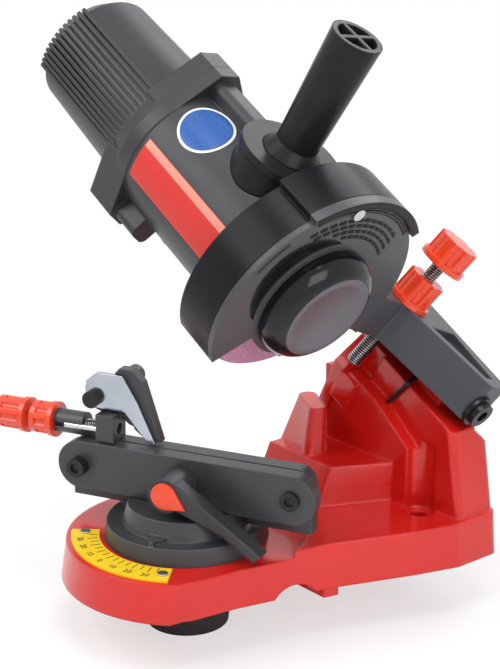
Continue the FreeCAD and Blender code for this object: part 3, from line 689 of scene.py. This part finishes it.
class GRINDER_OT_cover_ribs(bpy.types.Operator):
    """Fine raised arcs on the guard cover"""
    bl_idname = "grinder.cover_ribs"
    bl_label = "Cover ribs"

    def execute(self, context):
        rib_w, rib_h, rib_arc, rib_step = 0.0016, 0.0004, 4.6, 6.4
        first_r, row_gap, first_angle, row_shift = 0.0385, 0.0033, 35, 2
        parts = []
        for row, count in enumerate((9, 10, 12, 12)):
            r = first_r + row_gap * row
            for k in range(count):
                start = first_angle + row * row_shift + k * rib_step
                outline = arc_outline(r, r + rib_w, start, start + rib_arc, 6)
                parts.append(cover_plate(outline, -SINK, rib_h))
        on_head("cover_ribs", merged(parts), bpy.data.materials["guard_satin"])
        # A near-black flat arc on the cover: painted shade standing in for the inside of a slot that is not
        # cut.
        dark = finish("slot_painted_shade", (0.004, 0.004, 0.004), (0.008, 0.008, 0.009), (0.5, 0.7), grain=900,
                      depth_mm=0.0, edge_mm=0.0)
        on_head("cover_slot_shade", cover_plate(arc_outline(0.0525, 0.0545, 128, 149, 24), -SINK, PRINT_T), dark)
        crescent = crescent_outline(r_in=0.0349, r_cut=0.0269, offset=0.0212, mid=137.0, steps=40)
        on_head("cover_crescent", cover_plate(crescent, -0.0014, -0.0010), bpy.data.materials["cap_gloss"])
        return {"FINISHED"}


class GRINDER_OT_cover_trim(bpy.types.Operator):
    """Black band and rims round the top of the guard cover, and the satin disc on the hub"""
    bl_idname = "grinder.cover_trim"
    bl_label = "Cover trim"

    def execute(self, context):
        band = [cover_plate(arc_outline(0.0535, 0.0573, 36, 111, 60), -SINK, PRINT_T),
                cover_plate(arc_outline(0.0577, 0.0613, 33.4, 113.6, 60), 0.0020, 0.0023)]
        on_head("hump_band", merged(band), bpy.data.materials["guard_satin"])
        rim_w, rim_h = 0.0005, 0.0006
        rims = [cover_plate(arc_outline(r, r + rim_w, 37, 110, 60), -SINK, rim_h) for r in (0.0544, 0.0560)]
        on_head("hump_rims", merged(rims), bpy.data.materials["cover_satin"])
        satin = finish("disc_satin", (0.085, 0.085, 0.097), (0.105, 0.105, 0.120), (0.32, 0.42), grain=900,
                       depth_mm=0.006, edge_mm=0.0)
        around = 96
        turn = np.linspace(0, 2 * math.pi, around, endpoint=False)
        rings = np.array([[0.0251, 0.0236], [0.02545, 0.0236], [0.02555, 0.0232], [0.02555, 0.0190],
                          [0.02540, 0.0187], [0.02540, 0.0004]])
        along = np.repeat(rings[:, :1], around, axis=1)
        points = on_cylinder(along, np.broadcast_to(turn, along.shape), rings[:, 1:])
        on_head("hub_disc", (points, closed_faces(len(rings), around)), satin)
        return {"FINISHED"}


class GRINDER_OT_lever_drop(bpy.types.Operator):
    """Red drop-shaped insert on the clamp lever"""
    bl_idname = "grinder.lever_drop"
    bl_label = "Lever insert"

    def execute(self, context):
        joint = joints["clamp_lever_turn"]
        out = np.array(joint["axis"])
        across = np.cross(out, UP)
        hub = Axes(joint["pos_m"], across, UP, out)
        tilt, lever_face = -26, 0.0140
        outline = rotated(drop_outline(radius=0.0070, reach=0.0130, steps=60), tilt)
        if across @ vise.turn[0] < 0:
            outline[:, 0] *= -1
            outline = outline[::-1]
        steps = np.array([[1.0, -0.0002], [1.0, 0.0010], [0.95, 0.0015], [0.84, 0.00175], [0.6, 0.0019],
                          [0.05, 0.0020]])
        layers = [np.column_stack([outline * size, np.full(len(outline), lever_face + rise)])
                  for size, rise in steps]
        faces = closed_faces(len(steps), len(outline))
        red = bpy.data.materials["knob_red"]
        made = piece("lever_drop", hub.put(np.concatenate(layers)), faces, "clamp_lever", red)
        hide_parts("lever_insert")
        return {"FINISHED"}


def lay_floor(scene):
    """A pale floor under the part that keeps its shadow and fades out to white."""
    low = cad_box[0][2]
    corners = [(x * FLOOR_HALF, y * FLOOR_HALF, low) for x, y in ((-1, -1), (1, -1), (1, 1), (-1, 1))]
    floor_mesh = bpy.data.meshes.new("floor")
    floor_mesh.from_pydata(corners, [], [(0, 1, 2, 3)])
    floor = bpy.data.objects.new("floor", floor_mesh)
    scene.collection.objects.link(floor)
    paper = bpy.data.materials.new("floor_paper")
    paper.use_nodes = True
    shader = paper.node_tree.nodes["Principled BSDF"]
    shader.inputs["Base Color"].default_value = (0.92, 0.92, 0.92, 1)
    shader.inputs["Roughness"].default_value = 0.9
    fade_out(paper.node_tree, shader, lift=0.6)
    floor_mesh.materials.append(paper)


def light_world(scene):
    """A soft white world that camera, glossy and transmission rays see at full strength."""
    world = bpy.data.worlds.new("studio")
    scene.world = world
    world.use_nodes = True
    tree = world.node_tree
    plain = tree.nodes["Background"]
    plain.inputs["Color"].default_value = (1, 1, 1, 1)
    plain.inputs["Strength"].default_value = AMBIENT
    white = node(tree, "ShaderNodeBackground", Color=(1, 1, 1, 1), Strength=1.0)
    rays = node(tree, "ShaderNodeLightPath")
    seen = node(tree, "ShaderNodeMath", operation="ADD", use_clamp=True)
    also = node(tree, "ShaderNodeMath", operation="ADD", use_clamp=True)
    tree.links.new(rays.outputs["Is Camera Ray"], also.inputs[0])
    tree.links.new(rays.outputs["Is Glossy Ray"], also.inputs[1])
    tree.links.new(also.outputs["Value"], seen.inputs[0])
    tree.links.new(rays.outputs["Is Transmission Ray"], seen.inputs[1])
    mixed = blended(tree, seen.outputs["Value"], plain.outputs["Background"], white.outputs["Background"])
    tree.links.new(mixed, tree.nodes["World Output"].inputs["Surface"])


def hang_lamps(scene):
    """Square lamps, all turned towards the middle of the part."""
    for name, place, size, power in LAMPS:
        lamp = bpy.data.lights.new(name, "AREA")
        lamp.energy = power
        lamp.size = size
        holder = bpy.data.objects.new(name, lamp)
        holder.location = place
        holder.rotation_euler = (Vector(LAMP_AIM) - Vector(place)).to_track_quat("-Z", "Y").to_euler()
        scene.collection.objects.link(holder)


def set_camera(scene):
    """The photograph's camera: its place, azimuth, pitch and focal length."""
    view = bpy.data.cameras.new("photo_view")
    view.sensor_width = SENSOR_MM
    view.lens = FOCAL_PX * SENSOR_MM / PHOTO_HEIGHT_PX
    view.clip_start = 0.05
    camera = bpy.data.objects.new("photo_view", view)
    a, e = math.radians(CAMERA_AZIMUTH), math.radians(CAMERA_PITCH)
    back = Vector((math.sin(a) * math.cos(e), -math.cos(a) * math.cos(e), math.sin(e)))
    right = Vector((math.cos(a), math.sin(a), 0.0))
    turn = Matrix((right, back.cross(right), back)).transposed()
    camera.matrix_world = Matrix.Translation(CAMERA_PLACE) @ turn.to_4x4()
    scene.collection.objects.link(camera)
    scene.camera = camera


class GRINDER_OT_studio(bpy.types.Operator):
    """Pale floor, soft lamps, white world and the photograph's camera"""
    bl_idname = "grinder.studio"
    bl_label = "Studio"

    def execute(self, context):
        scene = bpy.context.scene
        scene.view_settings.view_transform = "Standard"
        lay_floor(scene)
        light_world(scene)
        hang_lamps(scene)
        set_camera(scene)
        return {"FINISHED"}


class GRINDER_PT_sidebar(bpy.types.Panel):
    """Lists the operators and the settings in the sidebar"""
    bl_label = "Chain grinder"
    bl_idname = "GRINDER_PT_sidebar"
    bl_space_type = "VIEW_3D"
    bl_region_type = "UI"
    bl_category = "Grinder"

    def draw(self, context):
        for name in GrinderLooks.__annotations__:
            self.layout.prop(context.scene.grinder_looks, name)
        for operator in OPERATORS:
            self.layout.operator(operator.bl_idname)


OPERATORS = (GRINDER_OT_castings, GRINDER_OT_mouldings, GRINDER_OT_metals, GRINDER_OT_threads,
             GRINDER_OT_spring, GRINDER_OT_label, GRINDER_OT_scale, GRINDER_OT_cover_ribs,
             GRINDER_OT_cover_trim, GRINDER_OT_lever_drop, GRINDER_OT_studio)
CLASSES = (GrinderLooks, *OPERATORS, GRINDER_PT_sidebar)


def register():
    for item in CLASSES:
        bpy.utils.register_class(item)
    bpy.types.Scene.grinder_looks = bpy.props.PointerProperty(type=GrinderLooks)


def unregister():
    del bpy.types.Scene.grinder_looks
    for item in reversed(CLASSES):
        bpy.utils.unregister_class(item)


def main():
    register()
    bpy.ops.grinder.castings()
    bpy.ops.grinder.mouldings()
    bpy.ops.grinder.metals()
    bpy.ops.grinder.threads()
    bpy.ops.grinder.spring()
    bpy.ops.grinder.label()
    bpy.ops.grinder.scale()
    bpy.ops.grinder.cover_ribs()
    bpy.ops.grinder.cover_trim()
    bpy.ops.grinder.lever_drop()
    bpy.ops.grinder.studio()


if __name__ == "__main__":
    main()
